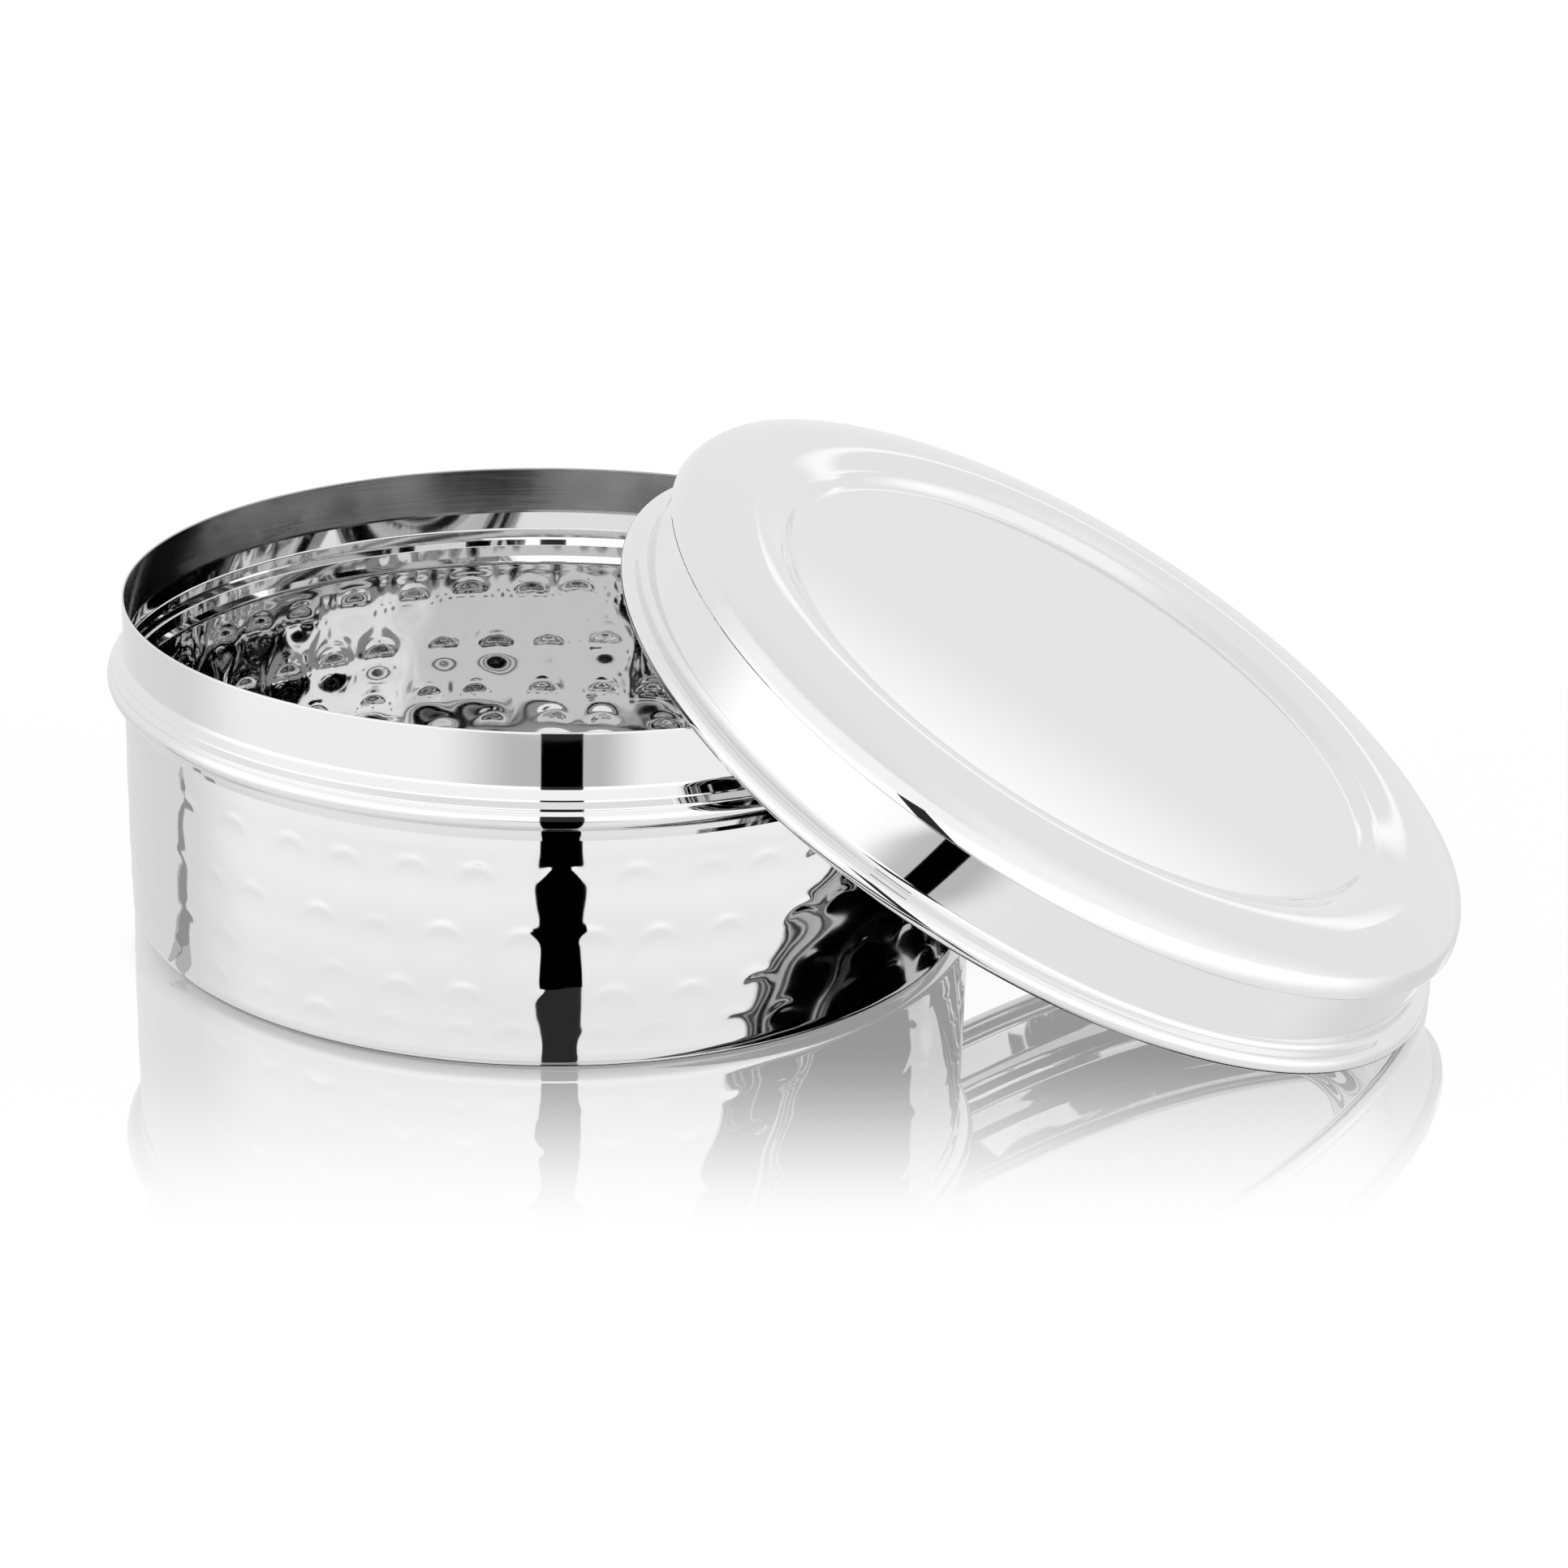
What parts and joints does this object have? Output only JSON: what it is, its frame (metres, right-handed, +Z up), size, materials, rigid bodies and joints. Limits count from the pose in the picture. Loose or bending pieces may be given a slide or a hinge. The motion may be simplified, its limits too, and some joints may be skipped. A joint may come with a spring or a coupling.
{
  "type": "food container",
  "caption": "Round stainless steel food container with a beaded neck and hammered wall, its loose press-on lid taken off and leaning on the rim.",
  "frame": {"origin": "centre of the container's flat underside, on the floor", "axes": "+Z up along the container's axis, +X towards the side where the lid leans, +Y to the left of +X"},
  "size_m": [0.3182, 0.2112, 0.1159],
  "materials": {
    "container_steel": "mirror polished outside and at the rim, hammered wall, lightly brushed inside the neck",
    "lid_steel": "mirror polished"
  },
  "bodies": {
    "container": {"container_body": "container_steel"},
    "lid": {"lid": "lid_steel"}
  },
  "joints": [
    {"name": "lid_lift", "type": "slide", "parent": "container", "child": "lid", "axis": [0, 0, 1], "range_m": [0, 0.15]}
  ]
}
